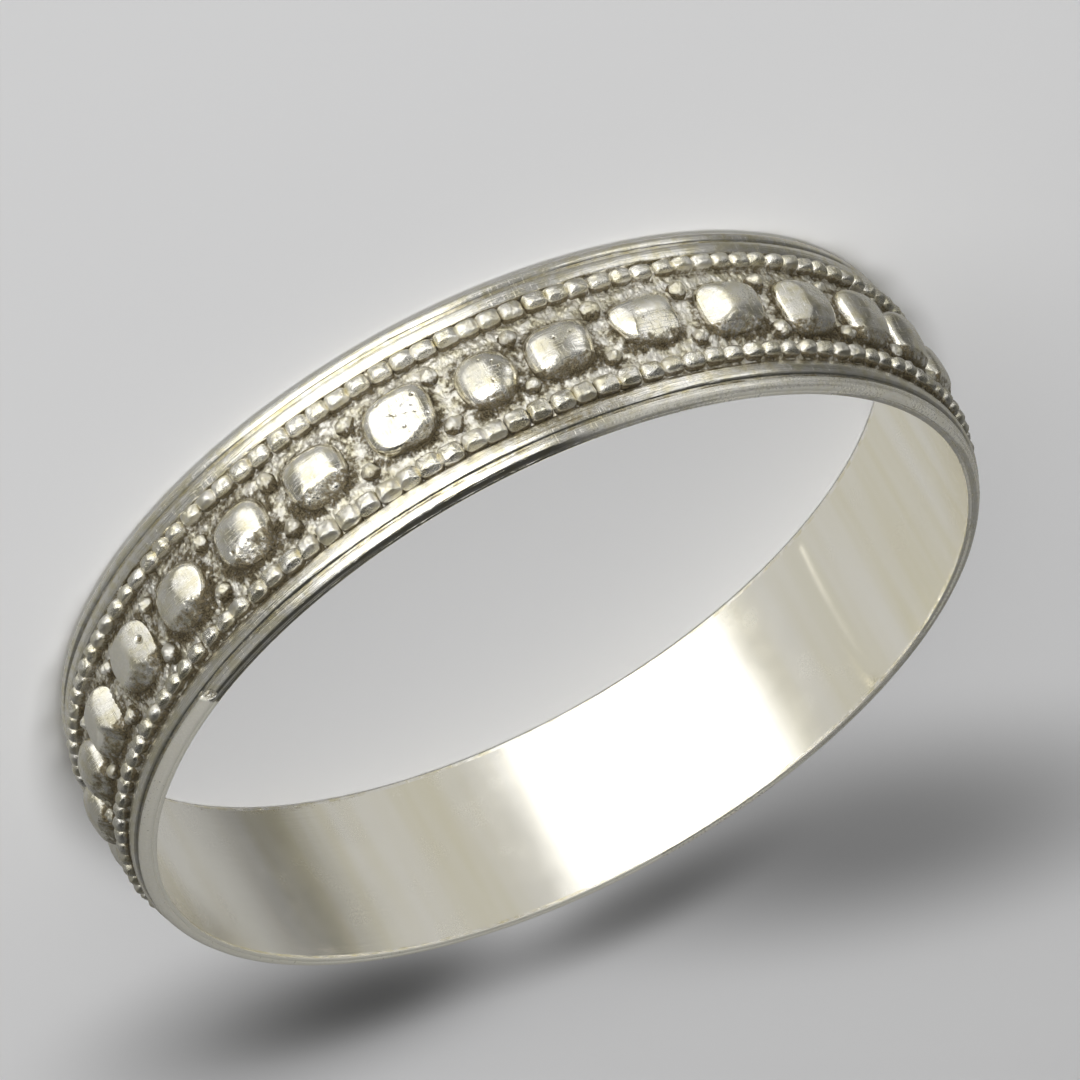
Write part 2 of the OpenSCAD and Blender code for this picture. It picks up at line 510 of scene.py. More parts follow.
def build_ground(name, low, high, material):
    """The crusty recessed ground between the heights low and high."""
    turn = near_turns(GROUND_NEAR_STEPS, GROUND_FAR_STEPS)
    tt, zz = np.meshgrid(turn, np.linspace(low, high, GROUND_ROWS), indexing="ij")
    flat = hoop_point(tt, GROUND_R, zz)
    crust = 0.7 * billow(flat, 1.0, 1, 2.0) + billow(flat, 0.45, 2, 5.0) - 0.7
    grain = fractal(flat, 0.21, 2, 6.0)
    recess = smooth(from_edge(zz), 2.2, 3.6)
    fillet, shade = ornament_shade(tt, zz)
    relief = (0.3 + 0.7 * recess) * (0.12 * crust + 0.06 * grain)
    points = hoop_point(tt, ground_profile(zz) + relief + 0.10 * fillet, zz)
    dirt_and_shade = ground_dirt_and_shade(tt, zz, crust, grain, shade)
    return make_piece(name, points, grid_faces(len(turn), GROUND_ROWS).tolist(), dirt_and_shade, material, 0 * dirt_and_shade)


def boss_fillet(i, tt, zz):
    """How much solder is heaped against boss i, and how dark the ground round it is, 0 to 1: tarnish all
    round, with painted shade added on its upper side.
    """
    boss = BOSSES[i % len(BOSSES)]
    margin = 0.32
    a = np.abs(arc(tt, boss_place(i), FOOT_R) / (boss["length"] / 2 + margin))
    up = zz - MID_Z - boss["lift"]
    near = (a**3 + np.abs(up / (boss["width"] / 2 + margin)) ** 3) ** (1 / 3)
    # Painted shade: the ground is darker on the boss's upper side
    upper = 0.55 + 0.45 * smooth(up, 0.2, 1.7)
    return 1 - smooth(near, 0.93, 1.12), (1 - smooth(near, 0.94, 1.14)) * upper


def granule_shade(i, side, tt, zz):
    """Painted shade on the ground on the upper side of a granule."""
    up = zz - MID_Z - side * GRANULE_SIDE
    away = np.hypot(arc(tt, gap_place(i), FOOT_R), up)
    return (1 - smooth(away, 0.75, 1.05)) * smooth(up, 0.1, 0.6)


def superwave(wave, power):
    return np.sign(wave) * np.abs(wave) ** (2 / power)


def cushion(grid, square, flat):
    """A unit cushion as three flat lists, its middle point first: x and y from the middle, and height."""
    spokes, rings = grid
    spoke = (np.arange(spokes) + 0.5) * 2 * np.pi / spokes
    ring = np.linspace(0, np.pi / 2, rings + 1)[1:]
    share = np.sin(ring) ** (2 / flat)
    x = superwave(np.cos(spoke), square)[:, None] * share[None, :]
    y = superwave(np.sin(spoke), square)[:, None] * share[None, :]
    height = np.repeat((np.cos(ring) ** (2 / flat))[None, :], spokes, axis=0)
    return np.append(0.0, x), np.append(0.0, y), np.append(1.0, height)


def fan_faces(spokes, rings, start):
    """The faces of one cushion: its grid of spokes by rings, then the fan round its middle point."""
    ring = grid_faces(spokes, rings, start + 1)[:, ::-1]
    fan = [(start, start + 1 + i * rings, start + 1 + ((i + 1) % spokes) * rings) for i in range(spokes)]
    return [tuple(face) for face in ring.tolist()] + fan


def place_cushion(x, y, h, turn, z, half_length, half_width, foot_r, top_r):
    """Turns a unit cushion into points on the hoop. The long way runs round the hoop."""
    r = foot_r + h * (top_r - foot_r)
    return turn + np.degrees(x * half_length / top_r), r, z + y * half_width


def cut(r, a, b, top_r, way, start, slope, soft=0.03):
    """Rubs a soft facet into a raised top. It begins at start millimetres from the middle toward way."""
    along = a * math.cos(math.radians(way)) + b * math.sin(math.radians(way))
    plane = top_r + slope * (start - along)
    return 0.5 * (r + plane - np.sqrt((r - plane) ** 2 + soft**2))


def boss_cushion(i, boss, grid):
    """The plain cushion of boss i on the hoop, and the height of each point on it, 0 to 1."""
    x, y, h = cushion(grid, boss["square"], boss["flat"])
    x, y = x * (1 - boss["wedge"] * y) + boss["skew"] * y, y * (1 - boss["taper"] * x)
    half_length = boss["length"] / 2 * BOSS_SPREAD
    half_width = boss["width"] / 2 * BOSS_SPREAD
    mid_z = MID_Z + boss["lift"]
    place = boss_place(i)
    turn, r, z = place_cushion(x, y, h, place, mid_z, half_length, half_width, GROUND_R - 0.3, BOSS_TOP_R)
    return turn, r, z, h


def boss_skin(i, rough, side, turn, r, z):
    """The lumps on the surface of a boss, and the fine grain of its rough skin."""
    flat = hoop_point(turn, ORNAMENT_R, z)
    lumps = 0.035 * noise(flat, 1.8, 20.0 + i) + 0.02 * noise(flat, 0.8, 30.0)
    lumps = lumps + 0.005 * noise(flat, 0.4, 31.0)
    return lumps, 0.032 * fractal(hoop_point(turn, r, z), 0.3, 3, 8.0) * (0.12 * side + rough)


def dig_pits(turn, r, z, dirt_and_shade):
    """The radius and the dirt of a boss, with the larger pits sunk into it and dark inside."""
    for pit in PITS:
        away = np.hypot(arc(turn, pit["turn"], BOSS_FACE_R), z - pit["z"]) / pit["radius"]
        hole = 1 - smooth(away, 0.35, 1.05)
        r, dirt_and_shade = r - pit["depth"] * hole, dirt_and_shade + 2.0 * hole
    return r, dirt_and_shade


def boss_film(turn, z):
    film = 0 * z
    for spot in FILMS:
        along = arc(turn, spot["turn"], BOSS_FACE_R) / spot["along"]
        far = np.hypot(along, (z - spot["z"]) / spot["across"])
        film = np.maximum(film, spot["strength"] * (1 - smooth(far, 0.6, 1.15)))
    return film


def boss_points(i, grid):
    """One boss: a cushion with its rubbed facets, a rough skirt on its upper side, lumps and pits."""
    boss = BOSSES[i % len(BOSSES)]
    rng = np.random.default_rng(100 + i)
    turn, r, z, h = boss_cushion(i, boss, grid)
    a, b = arc(turn, boss_place(i), BOSS_TOP_R), z - (MID_Z + boss["lift"])
    for facet in FACETS:
        if facet["boss"] == i % len(BOSSES):
            r = cut(r, a, b, BOSS_TOP_R, facet["way"], facet["start"], facet["slope"], 0.10)
    skirt_start = boss["skirt"] + 0.12 * noise(hoop_point(turn, ORNAMENT_R, 0 * z), 0.8, 60.0)
    skirt_way = 90 + boss["lean"] + rng.uniform(-5, 5)
    r = cut(r, a, b, BOSS_TOP_R, skirt_way, skirt_start, rng.uniform(0.7, 0.85), 0.08)
    side = 1 - smooth(h, 0.55, 0.9)
    lean = math.radians(boss["lean"])
    skirt = smooth(b * math.cos(lean) - a * math.sin(lean), skirt_start + 0.1, skirt_start + 0.5)
    rough = np.clip(0.3 * boss["rough"] * side + 0.8 * skirt, 0, 1)
    lumps, grain = boss_skin(i, rough, side, turn, r, z)
    r = r + lumps + grain - 0.05 * (a**2 + b**2) / 4
    flank = smooth(-a, boss["length"] * 0.28, boss["length"] * 0.46)
    flank = flank * (abs(boss_place(i) - DULL_FLANK_TURN) < DULL_FLANK_REACH)
    dirt_and_shade = 0.95 * (1 - smooth(h, 0.25, 0.68)) + 1.02 * rough + 0.55 * flank - 8.0 * grain
    r, dirt_and_shade = dig_pits(turn, r, z, dirt_and_shade)
    return hoop_point(turn, np.minimum(r, BOSS_TOP_R), z), dirt_and_shade, boss_film(turn, z), grid


def fuse_cushions(name, cushions, material):
    """One piece from many cushions, each with its points, dirt, film, and its spokes and rings."""
    faces, start = [], 0
    for points, _, _, (spokes, rings) in cushions:
        faces += fan_faces(spokes, rings, start)
        start += len(points)
    points, dirt_and_shade_values, films = (np.concatenate([c[k] for c in cushions]) for k in range(3))
    return make_piece(name, points, faces, dirt_and_shade_values, material, films)


def build_bosses(name, chosen, grid, material):
    return fuse_cushions(name, [boss_points(i, grid) for i in chosen], material)


def is_near(place):
    first, last = NEAR_SIDE
    return abs(turn_gap(place, (first + last) / 2)) < (last - first) / 2


def bead_points(i, rng, top):
    """One bead of a wire. Those in front are worn into broad drums, each with a steep facet on its upper
    side, and those toward the ends stay small and rounder."""
    pitch = 360 / BEAD_N
    place = (i + 0.5) * pitch + rng.uniform(-0.2, 0.2)
    front = 1 - smooth(abs(turn_gap(place, RUBBED_BEADS_TURN)), 16, 38)
    middle = BAND_W - BEAD_INSET - 0.08 * (1 - front) if top else BEAD_INSET + 0.07
    mid_z = middle + rng.uniform(-0.04, 0.04)
    length = pitch * np.radians(1) * ORNAMENT_R * (1.03 - 0.02 * front) * rng.choice([1.0, 1.03, 1.08])
    width = (1.14 + 0.34 * front if top else 1.10 + 0.18 * front) * rng.uniform(0.96, 1.04)
    top_r = BEAD_TOP_R - rng.uniform(0.02, 0.14) - 0.04 * (1 - front)
    grid = BEAD_GRID if is_near(place) else BEAD_FAR_GRID
    square = rng.uniform(2.7, 3.4) + 0.9 * front
    flat = rng.uniform(2.6, 3.2) + 0.5 * front
    x, y, h = cushion(grid, square, flat)
    x = x + rng.uniform(-0.25, 0.1) * y * (1 - np.abs(x))
    turn, r, z = place_cushion(x, y, h, place, mid_z, length / 2, width / 2, GROUND_R - 0.25, top_r)
    a, b = arc(turn, place, ORNAMENT_R), z - mid_z
    r = cut(r, a, b, top_r, -90 + rng.uniform(-20, 20), rng.uniform(0.05, 0.25), rng.uniform(0.25, 0.4))
    end = rng.choice([0, 180]) + rng.uniform(-30, 30)
    r = cut(r, a, b, top_r, end, rng.uniform(0.15, 0.5) - 0.1 * (1 - front), 0.4 + 0.15 * (1 - front))
    skin = hoop_point(turn, r, z)
    bump = 0.06 * noise(skin, 0.5, 50.0 + i) + 0.05 * noise(skin, 0.24, 60.0)
    r = r + bump * h
    edge = (rng.uniform(0.28, 0.40) if top else rng.uniform(0.2, 0.34)) - 0.06 * (1 - front)
    slope = rng.uniform(1.35, 1.8) if top else rng.uniform(1.0, 1.4)
    r = cut(r, a, b, top_r, 90 + rng.uniform(-8, 8), edge, slope * (0.6 + 0.4 * front), 0.02)
    r = np.minimum(r, BEAD_TOP_R + 0.02)
    # The steep facet on the upper side is painted darker, as tarnish and painted shade
    below = smooth(b, edge, edge + 0.12)
    worn = 0.05 * (1 - front)
    foot = (0.95 if top else 0.68 + 0.27 * front) * (1 - smooth(h, 0.35 + worn, 0.78 + worn))
    dirt_and_shade = foot + 0.22 * rng.random() - 3.5 * bump * (1 - below)
    dirt_and_shade = dirt_and_shade + (0.12 if top else 0.12 + 0.23 * front) * below
    return hoop_point(turn, r, z), dirt_and_shade, 0 * r, grid


def build_beads(name, top, material):
    rng = np.random.default_rng(5 if top else 9)
    return fuse_cushions(name, [bead_points(i, rng, top) for i in range(BEAD_N)], material)


def granule_points(i, side, rng):
    """One rough lump of solder and silver in the gap between two bosses."""
    x, y, h = cushion(GRANULE_GRID, 2.0, 2.1)
    size = rng.uniform(0.64, 0.78)
    place = gap_place(i) + rng.uniform(-0.3, 0.3)
    mid_z = MID_Z + side * GRANULE_SIDE + rng.uniform(-0.1, 0.1)
    top_r = GROUND_R + rng.uniform(0.6, 0.85)
    half_width = size * rng.uniform(0.85, 1.1)
    turn, r, z = place_cushion(x, y, h, place, mid_z, size, half_width, GROUND_R - 0.2, top_r)
    a, b = arc(turn, place, GRANULE_R), z - mid_z
    for _ in range(3):
        r = cut(r, a, b, top_r, rng.uniform(-180, 180), rng.uniform(0.0, 0.3), rng.uniform(0.4, 0.9))
    skin = hoop_point(turn, r, z)
    bump = 0.2 * (billow(skin, 0.5, 3, 70.0) - 0.45)
    shove = 1 + 0.35 * noise(skin, 0.5, 80.0)
    turn = place + turn_gap(turn, place) * shove
    # Tarnish at the foot, and the upper half painted darker as shade
    dirt_and_shade = 0.95 * (1 - smooth(h, 0.3, 0.85)) + 0.2 - 3.0 * bump + 0.5 * smooth(b, 0.1, 0.4)
    return hoop_point(turn, r + bump * h, z), dirt_and_shade, 0 * r, GRANULE_GRID


def build_granules(material):
    rng = np.random.default_rng(3)
    lumps = [granule_points(i, side, rng) for i in range(BOSS_N) for side in (-1, 1)]
    return fuse_cushions("granules", lumps, material)


class Nodes:
    """Small helper that adds nodes and links to one node tree."""

    def __init__(self, tree):
        self.tree = tree
        tree.nodes.clear()

    def add(self, kind, inputs=None, **settings):
        node = self.tree.nodes.new(kind)
        for key, value in settings.items():
            setattr(node, key, value)
        for key, value in (inputs or {}).items():
            self.set(node.inputs[key], value)
        return node

    def set(self, socket, value):
        if isinstance(value, bpy.types.NodeSocket):
            self.tree.links.new(value, socket)
        else:
            socket.default_value = value

    def surface(self, shader, kind="ShaderNodeOutputMaterial"):
        self.set(self.add(kind).inputs["Surface"], shader)

    def math(self, operation, a, b=0.0, c=0.0, clamp=False):
        node = self.add("ShaderNodeMath", {0: a, 1: b, 2: c}, operation=operation, use_clamp=clamp)
        return node.outputs[0]

    def sway(self, base, pattern, amount):
        """The base, moved up and down by a pattern whose middle is 0.5."""
        return self.math("MULTIPLY_ADD", self.math("SUBTRACT", pattern, 0.5), amount, base)

    def vector_math(self, operation, a, b=(0, 0, 0)):
        return self.add("ShaderNodeVectorMath", {0: a, 1: b}, operation=operation).outputs["Value"]

    def noise(self, vector, scale, detail=2.0, rough=0.5):
        inputs = {"Vector": vector, "Scale": scale, "Detail": detail, "Roughness": rough}
        return self.add("ShaderNodeTexNoise", inputs).outputs["Fac"]

    def step(self, value, low, high, out_low=0.0, out_high=1.0):
        node = self.add(
            "ShaderNodeMapRange",
            {"Value": value, "From Min": low, "From Max": high, "To Min": out_low, "To Max": out_high},
            interpolation_type="SMOOTHSTEP",
        )
        return node.outputs["Result"]

    def mix(self, factor, a, b):
        node = self.add("ShaderNodeMix", data_type="RGBA")
        self.set(node.inputs[0], factor)
        self.set(node.inputs[6], a)
        self.set(node.inputs[7], b)
        return node.outputs[2]

    def mix_shader(self, factor, a, b):
        return self.add("ShaderNodeMixShader", {0: factor, 1: a, 2: b}).outputs["Shader"]

    def place(self, space):
        return self.add("ShaderNodeTexCoord").outputs[space]

    def split(self, vector):
        return self.add("ShaderNodeSeparateXYZ", {"Vector": vector}).outputs

    def painted(self, name):
        return self.add("ShaderNodeAttribute", attribute_name=name).outputs["Fac"]

    def degrees(self, angle):
        return self.math("MULTIPLY", angle, 180 / math.pi)

    def turn(self, axes):
        return self.degrees(self.math("ARCTAN2", axes["Y"], axes["X"]))

    def by_turn(self, turn, stops):
        """A nearly white grey that follows a table of turns, from -180 to 180, and brightnesses."""
        ramp = self.add("ShaderNodeValToRGB", {"Fac": self.math("MULTIPLY_ADD", turn, 1 / 360, 0.5)})
        elements = ramp.color_ramp.elements
        while len(elements) < len(stops):
            elements.new(0.5)
        for stop, (stop_turn, bright) in zip(elements, stops):
            stop.position = stop_turn / 360 + 0.5
            stop.color = (bright, bright * 0.995, bright * 0.96, 1)
        return ramp.outputs["Color"]

    def scaled(self, vector, scale, rotation=(0, 0, 0)):
        node = self.add("ShaderNodeMapping", {"Vector": vector, "Scale": scale, "Rotation": rotation})
        return node.outputs["Vector"]


def new_material(name):
    material = bpy.data.materials.new(name)
    material.use_nodes = True
    return material, Nodes(material.node_tree)


SILVER = (0.93, 0.908, 0.85, 1)
SILVER_WARM = (0.84, 0.79, 0.61, 1)
SILVER_DULL = (0.70, 0.68, 0.60, 1)
# Colours of the dark skin, which is tarnish and painted shade
TARNISH_AND_SHADE_DARK = (0.060, 0.045, 0.026, 1)
TARNISH_AND_SHADE_LIGHT = (0.36, 0.305, 0.195, 1)

# How far up the dirt and painted shade the dark skin begins and is whole, on a metal whose tarnish is 0
SKIN_START = 0.62
SKIN_WHOLE = 1.05

# How much rougher the dark skin, the grey film and a scratch are than clean metal
SKIN_ROUGHER = 0.34
FILM_ROUGHER = 0.22
SCRATCH_ROUGHER = 0.06

# How much less metallic the grey film and the dark skin are
FILM_LESS_METAL = 0.75
SKIN_LESS_METAL = 0.2

# Depth of the bump, in metres
BUMP_DEPTH = 0.0001


def drawn_lines(n, mm):
    """Fine lines that run along the hoop, close together across it."""
    part = n.split(mm)
    square = n.math("MULTIPLY_ADD", part["X"], part["X"], n.math("MULTIPLY", part["Y"], part["Y"]))
    across = n.math("MULTIPLY", n.math("ADD", n.math("SQRT", square), part["Z"]), 9.0)
    along_x, along_y = (n.math("MULTIPLY", part[axis], 0.1) for axis in "XY")
    thread = n.add("ShaderNodeCombineXYZ", {"X": along_x, "Y": along_y, "Z": across})
    return n.noise(thread.outputs["Vector"], 1.0, 4.0, 0.6)


def scratches(n, mm):
    cuts_a = n.noise(n.scaled(mm, (0.7, 0.7, 16.0), (0.35, 0.2, 0.3)), 1.0, 2.0)
    cuts_b = n.noise(n.scaled(mm, (14.0, 0.8, 0.8), (0.1, 0.5, 0.7)), 1.0, 2.0)
    return n.math("ADD", n.step(cuts_a, 0.60, 0.70), n.step(cuts_b, 0.62, 0.72))


def metal_patterns(n):
    """The patterns that every silver shares, by name, from the part's own place in millimetres."""
    mm = n.scaled(n.place("Object"), (1000, 1000, 1000))
    fine = n.noise(mm, 5.0, 3.0, 0.6)
    return {
        "fine": fine,
        "mid": n.noise(mm, 1.1, 3.0, 0.55),
        "broad": n.noise(mm, 0.22, 2.0),
        "speck": n.noise(mm, 14.0, 2.0, 0.6),
        "stripes": n.noise(n.scaled(mm, (0.16, 0.16, 0.012)), 1.0, 3.0),
        "lines": drawn_lines(n, mm),
        "cuts": scratches(n, mm),
        "film": n.math("MULTIPLY", n.painted("film"), n.step(fine, 0.25, 0.6, 0.6, 1.0)),
    }


def skin_mask(n, look, tarnish, drawn):
    """Where the dark skin lies: in the dirt and the painted shade, with ragged edges."""
    worn = n.sway(n.painted("dirt_and_shade"), look["fine"], 0.9)
    worn = n.sway(worn, look["mid"], 0.5)
    worn = n.sway(worn, look["lines"], 1.1 * drawn)
    return n.step(worn, SKIN_START - tarnish, SKIN_WHOLE - tarnish)


def metal_colour(n, look, mask, bands):
    """Clean silver, the grey film over it and the dark skin over both, which is tarnish and painted shade."""
    warm = n.step(look["stripes"] if bands else look["mid"], 0.35, 0.7)
    crumbs = n.math("MULTIPLY_ADD", look["speck"], 0.5, n.math("MULTIPLY", look["fine"], 0.5))
    skin = n.mix(n.step(crumbs, 0.40, 0.60), TARNISH_AND_SHADE_DARK, TARNISH_AND_SHADE_LIGHT)
    return n.mix(mask, n.mix(look["film"], n.mix(warm, SILVER, SILVER_WARM), SILVER_DULL), skin)


def metal_roughness(n, look, mask, polish, scratch):
    rough = n.step(look["broad"], 0.3, 0.7, polish * 0.8, polish * 1.25)
    rough = n.sway(rough, look["speck"], polish * 0.5)
    rough = n.math("MULTIPLY_ADD", mask, SKIN_ROUGHER, rough)
    rough = n.math("MULTIPLY_ADD", look["film"], FILM_ROUGHER, rough)
    return n.math("MULTIPLY_ADD", look["cuts"], SCRATCH_ROUGHER * scratch, rough, clamp=True)


def metal_bump(n, look, mask, grain, bare, scratch, drawn):
    height = n.sway(n.sway(0.0, look["fine"], 0.6), look["speck"], 0.4)
    height = n.math("MULTIPLY", height, n.math("MULTIPLY_ADD", mask, grain * (1 - bare), grain * bare))
    height = n.sway(height, look["lines"], 0.35 * drawn)
    height = n.math("MULTIPLY_ADD", look["cuts"], -0.06 * scratch, height)
    bump = n.add("ShaderNodeBump", {"Height": height, "Strength": 1.0, "Distance": BUMP_DEPTH})
    return bump.outputs["Normal"]


def silver(name, polish, tarnish, grain, scratch, drawn, bare=0.12, bands=False):
    """Old silver. polish is the roughness of the clean metal, tarnish how far the dark skin spreads,
    grain the depth of the fine bumps and bare the share of it on clean metal, scratch and drawn how much
    it is scratched across and along. With bands, its colour varies in soft stripes across the band, not
    in patches."""
    material, n = new_material(name)
    look = metal_patterns(n)
    mask = skin_mask(n, look, tarnish, drawn)
    metal = n.math("MULTIPLY_ADD", mask, -SKIN_LESS_METAL, 1.0)
    shader = n.add(
        "ShaderNodeBsdfPrincipled",
        {
            "Base Color": metal_colour(n, look, mask, bands),
            "Metallic": n.math("MULTIPLY_ADD", look["film"], -FILM_LESS_METAL, metal, clamp=True),
            "Roughness": metal_roughness(n, look, mask, polish, scratch),
            "Normal": metal_bump(n, look, mask, grain, bare, scratch, drawn),
        },
    )
    n.surface(shader.outputs["BSDF"])
    return material


# The floor, in metres. It lies a hair below the bangle, so that the two faces never coincide.
FLOOR_HALF = 3.0
FLOOR_Z = -0.0001
FLOOR_COLOUR = (0.70, 0.70, 0.705, 1)


def floor_material():
    material, n = new_material("pale_floor")
    n.surface(n.add("ShaderNodeBsdfDiffuse", {"Color": FLOOR_COLOUR, "Roughness": 1.0}).outputs["BSDF"])
    return material


def build_floor():
    corners = [(x * FLOOR_HALF, y * FLOOR_HALF, 0) for x, y in ((-1, -1), (1, -1), (1, 1), (-1, 1))]
    mesh = bpy.data.meshes.new("floor")
    mesh.from_pydata(corners, [], [(0, 1, 2, 3)])
    mesh.materials.append(floor_material())
    floor = add_object("floor", mesh)
    floor.location.z = FLOOR_Z
    floor.visible_glossy = False


# The middle of the dark ceiling, a little behind the bangle, and how far from it the ceiling ends
CEILING_WAY = (0.0, math.sin(math.radians(13)), math.cos(math.radians(13)))
CEILING_EDGE = (46.0, 62.0)

# How bright the studio is below the bangle's level, by turn about the axis of the hoop
WALLS = [
    (-180, 0.30), (-166, 0.56), (-125, 0.58), (-38, 0.60), (56, 0.56), (82, 0.42), (130, 0.47), (148, 0.42),
    (164, 0.22),
]
WALL_FRONT = (0.30, 0.30, 0.29, 1)
WALL_BACK = (0.12, 0.12, 0.116, 1)
CEILING = (0.045, 0.045, 0.042, 1)

# Windows of light in the room: turn of the middle, half width, softness, and lowest and highest rise
SOFTBOX = (2.6, 2.6, 2.56, 1)
SOFTBOX_WINDOW = (-80.0, 26.0, 9.0, -44.0, 34.0)
SIDE_LIGHT = (1.1, 1.1, 1.08, 1)
SIDE_WINDOW = (-155.0, 14.0, 6.0, 6.0, 26.0)

# The share of the studio's light that matt surfaces don't get
MATT_LOSS = 0.8


def lit_patch(n, turn, rise, middle, half, soft, low, high):
    """A soft-edged window in the room: 1 inside it, 0 outside. Angles are degrees."""
    off = n.math("ABSOLUTE", n.math("SUBTRACT", turn, middle))
    patch = n.math("MULTIPLY", n.step(off, half, half + soft, 1.0, 0.0), n.step(rise, low - soft, low))
    return n.math("MULTIPLY", patch, n.step(rise, high, high + soft, 1.0, 0.0))


def build_world():
    """A studio round the bangle: a large soft light in front, a small one aside, and a dark ceiling."""
    world = bpy.data.worlds.new("studio")
    bpy.context.scene.world = world
    world.use_nodes = True
    n = Nodes(world.node_tree)
    way = n.place("Generated")
    axes = n.split(way)
    turn = n.turn(axes)
    rise = n.degrees(n.math("ARCSINE", axes["Z"]))
    upper = n.mix(n.step(axes["Y"], -0.4, 0.4), WALL_FRONT, WALL_BACK)
    room = n.mix(n.step(rise, -3.0, 3.0), n.by_turn(turn, WALLS), upper)
    from_ceiling = n.degrees(n.math("ARCCOSINE", n.vector_math("DOT_PRODUCT", way, CEILING_WAY)))
    room = n.mix(n.step(from_ceiling, *CEILING_EDGE, 1.0, 0.0), room, CEILING)
    room = n.mix(lit_patch(n, turn, rise, *SIDE_WINDOW), room, SIDE_LIGHT)
    light = n.mix(lit_patch(n, turn, rise, *SOFTBOX_WINDOW), room, SOFTBOX)
    matt = n.add("ShaderNodeLightPath").outputs["Is Diffuse Ray"]
    strength = n.math("MULTIPLY_ADD", matt, -MATT_LOSS, 1.0)
    background = n.add("ShaderNodeBackground", {"Color": light, "Strength": strength})
    n.surface(background.outputs["Background"], "ShaderNodeOutputWorld")


# How much of the room the floor outside the hoop mirrors into the ornament, by turn about the axis
FLOOR_SHADE = [
    (-180, 0.60), (-170, 0.46), (-157, 0.80), (-144, 0.95), (-131, 0.80), (-117, 0.44), (-104, 0.34),
    (-92, 0.66), (-72, 0.60), (-50, 0.28), (-36, 0.40), (10, 0.40), (120, 0.55),
]
SHADE_STEPS = 96
SHADE_RINGS = (32.2, 60.0, 600.0)
SHADE_Z = -0.05

# Where the shade fades in beside the hoop, as radii in metres, and its share of clear light there
SHADE_FADE = (0.035, 0.046)
SHADE_CLEAR = 0.4

# A small lamp at the floor, from the front toward smaller turns, which only mirrors see: its place and
# the radii between which it fades out, in metres
SPOT_PLACE = (-0.033, -0.038, -0.00005)
SPOT_RADII = (0.005, 0.012)
SPOT_STRENGTH = 1.6


def shade_material():
    """Lets mirrored light through, dimmed by the turn and a little less close to the hoop."""
    material, n = new_material("floor_shade")
    place = n.place("Object")
    shade = n.by_turn(n.turn(n.split(place)), FLOOR_SHADE)
    near = n.step(n.vector_math("LENGTH", place), *SHADE_FADE, SHADE_CLEAR, 0.0)
    clear = n.add("ShaderNodeBsdfTransparent", {"Color": n.mix(near, shade, (1, 1, 1, 1))})
    lamp = n.add("ShaderNodeEmission", {"Strength": SPOT_STRENGTH})
    on_spot = n.step(n.vector_math("DISTANCE", place, SPOT_PLACE), *SPOT_RADII, 1.0, 0.0)
    n.surface(n.mix_shader(on_spot, clear.outputs["BSDF"], lamp.outputs["Emission"]))
    return material


def build_floor_shade():
    """A flat ring round the hoop that only mirrored light meets, as the darker floor outside would be."""
    turn = np.arange(SHADE_STEPS) * 360 / SHADE_STEPS
    tt, rr = np.meshgrid(turn, SHADE_RINGS, indexing="ij")
    points = hoop_point(tt, rr, SHADE_Z).reshape(-1, 3) * MM
    mesh = bpy.data.meshes.new("floor_shade")
    mesh.from_pydata(points.tolist(), [], grid_faces(SHADE_STEPS, len(SHADE_RINGS)).tolist())
    mesh.materials.append(shade_material())
    shade = add_object("floor_shade", mesh)
    shade.visible_camera = False
    shade.visible_diffuse = False
    shade.visible_shadow = False


# The key light: its side and its place in metres, and its power in watts
KEY_SIZE = 0.2
KEY_PLACE = (-0.035, -0.28, 0.46)
KEY_POWER = 1.7


def build_key_light():
    """A high soft light in front, aimed at the bangle. It brightens the floor and isn't mirrored."""
    light = bpy.data.lights.new("key", "AREA")
    light.shape = "RECTANGLE"
    light.size = KEY_SIZE
    light.size_y = KEY_SIZE
    light.energy = KEY_POWER
    lamp = add_object("key", light)
    lamp.location = KEY_PLACE
    lamp.rotation_euler = (Vector((0, 0, 0)) - lamp.location).to_track_quat("-Z", "Y").to_euler()
    lamp.visible_glossy = False


# Flags that shade the floor behind the hoop: middle, half length and half width, turn, and how much light
# the middle holds back
FLAG_COLUMNS = ("x", "y", "half_length", "half_width", "turn", "strength")
FLAG_ROWS = [
    (-15.5, 71.5, 42.0, 20.0, 131.0, 0.66),
    (29.0, 48.5, 26.0, 16.0, 140.0, 0.66),
    (23.0, 52.5, 17.0, 8.5, 148.0, 0.85),
    (3.0, 61.0, 17.0, 8.0, 172.0, 0.78),
]
FLAG_HEIGHT = 5.0
FLAG_SPACING = 0.3
FLAG_STEPS = 48


def flag_material(name, strength):
    """Darkest in the middle of the flag and clear at its edge."""
    material, n = new_material(name)
    clear = n.add("ShaderNodeBsdfTransparent")
    black = n.add("ShaderNodeBsdfDiffuse", {"Color": (0.0, 0.0, 0.0, 1)})
    held_back = n.step(n.vector_math("LENGTH", n.place("Object")), 0.1, 1.0, strength, 0.0)
    n.surface(n.mix_shader(held_back, clear.outputs["BSDF"], black.outputs["BSDF"]))
    return material


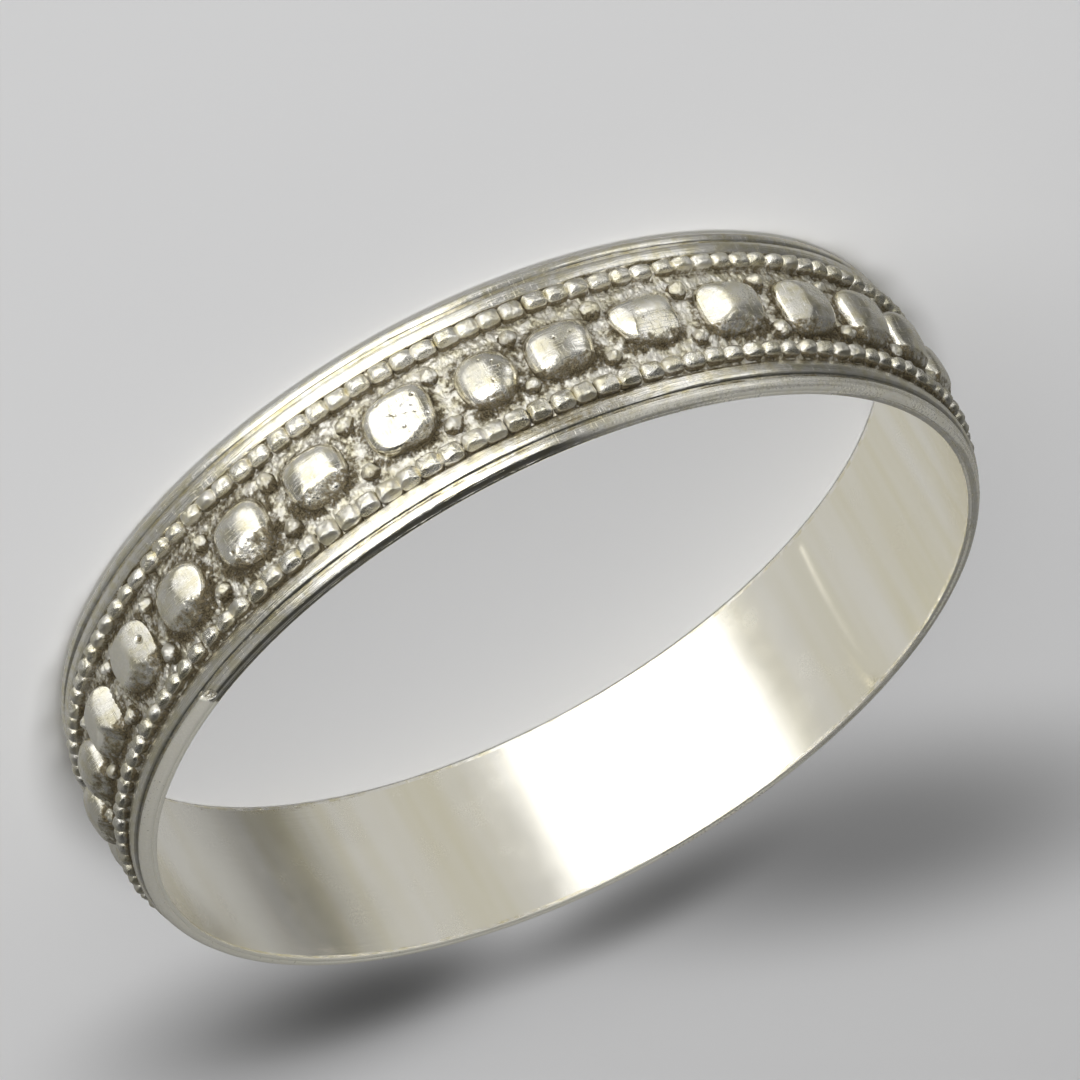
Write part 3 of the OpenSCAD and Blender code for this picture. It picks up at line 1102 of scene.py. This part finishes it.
def build_flags():
    """Oval flags out of the camera's sight, which throw the soft shadows behind the hoop."""
    t = np.arange(FLAG_STEPS) * 2 * np.pi / FLAG_STEPS
    outline = np.stack([np.cos(t), np.sin(t), 0 * t], -1).tolist()
    for i, flag in enumerate(rows(FLAG_COLUMNS, FLAG_ROWS)):
        name = "flag_%d" % (i + 1)
        mesh = bpy.data.meshes.new(name)
        mesh.from_pydata(outline, [], [tuple(range(FLAG_STEPS))])
        mesh.materials.append(flag_material(name, flag["strength"]))
        card = add_object(name, mesh)
        card.location = (flag["x"] * MM, flag["y"] * MM, (FLAG_HEIGHT + FLAG_SPACING * i) * MM)
        card.scale = (flag["half_length"] * MM, flag["half_width"] * MM, 1)
        card.rotation_euler.z = math.radians(flag["turn"])
        card.visible_camera = False
        card.visible_glossy = False


# How the photograph was taken, measured on it: the distance from the hoop, then in radians the rise, the
# roll, and the turns aside and up that move the hoop off the middle of the picture, then the lens and the
# sensor. What is nearer than CAMERA_NEAREST metres isn't drawn.
CAMERA_DISTANCE = 694.4
CAMERA_RISE = math.radians(27.62)
CAMERA_ROLL = math.radians(150.76)
CAMERA_PAN = -0.0046739
CAMERA_TILT = 0.0036398
CAMERA_LENS = 333.33
CAMERA_SENSOR = 36.0
CAMERA_NEAREST = 0.01


def build_camera():
    place = CAMERA_DISTANCE * Vector((0, -math.cos(CAMERA_RISE), math.sin(CAMERA_RISE)))
    forward = -place.normalized()
    right = Vector((1, 0, 0))
    up = right.cross(forward)
    forward = (forward + math.tan(CAMERA_PAN) * right + math.tan(CAMERA_TILT) * up).normalized()
    right = forward.cross(up).normalized()
    up = right.cross(forward)
    c, s = math.cos(CAMERA_ROLL), math.sin(CAMERA_ROLL)
    x_axis = c * right + s * up
    y_axis = -s * right + c * up
    data = bpy.data.cameras.new("camera")
    data.lens = CAMERA_LENS
    data.sensor_width = CAMERA_SENSOR
    data.clip_start = CAMERA_NEAREST
    camera = add_object("camera", data)
    turn = Matrix((x_axis, y_axis, -forward)).transposed().to_4x4()
    camera.matrix_world = Matrix.Translation(place * MM) @ turn
    bpy.context.scene.camera = camera


def build_bangle():
    rim_metal = silver("rim_silver", polish=0.14, tarnish=0.07, grain=0.6, scratch=0.6, drawn=1.3)
    liner_metal = silver(
        "liner_silver", polish=0.22, tarnish=-0.1, grain=0.05, scratch=0.0, drawn=0.25, bands=True,
    )
    ground_metal = silver(
        "ground_silver", polish=0.38, tarnish=0.10, grain=2.4, scratch=0.0, drawn=0.0, bare=0.45,
    )
    boss_metal = silver("boss_silver", polish=0.18, tarnish=0.0, grain=1.2, scratch=1.3, drawn=0.0, bare=0.16)
    bead_metal = silver("bead_silver", polish=0.26, tarnish=0.05, grain=1.8, scratch=0.4, drawn=0.0, bare=0.4)
    near_n = len(BOSSES)
    pieces = [
        build_rim("rim_low", False, rim_metal),
        build_rim("rim_high", True, rim_metal),
        build_liner(liner_metal),
        build_ground("ground_low", GROUND_INSET, MID_Z, ground_metal),
        build_ground("ground_high", MID_Z, BAND_W - GROUND_INSET, ground_metal),
        build_bosses("bosses_near", range(near_n), BOSS_GRID, boss_metal),
        build_bosses("bosses_far", range(near_n, BOSS_N), BOSS_FAR_GRID, boss_metal),
        build_beads("beads_low", False, bead_metal),
        build_beads("beads_high", True, bead_metal),
        build_granules(ground_metal),
    ]
    for piece in pieces:
        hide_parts("bangle")


bpy.context.scene.view_settings.view_transform = "Standard"
build_bangle()
build_floor()
build_floor_shade()
build_world()
build_key_light()
build_flags()
build_camera()
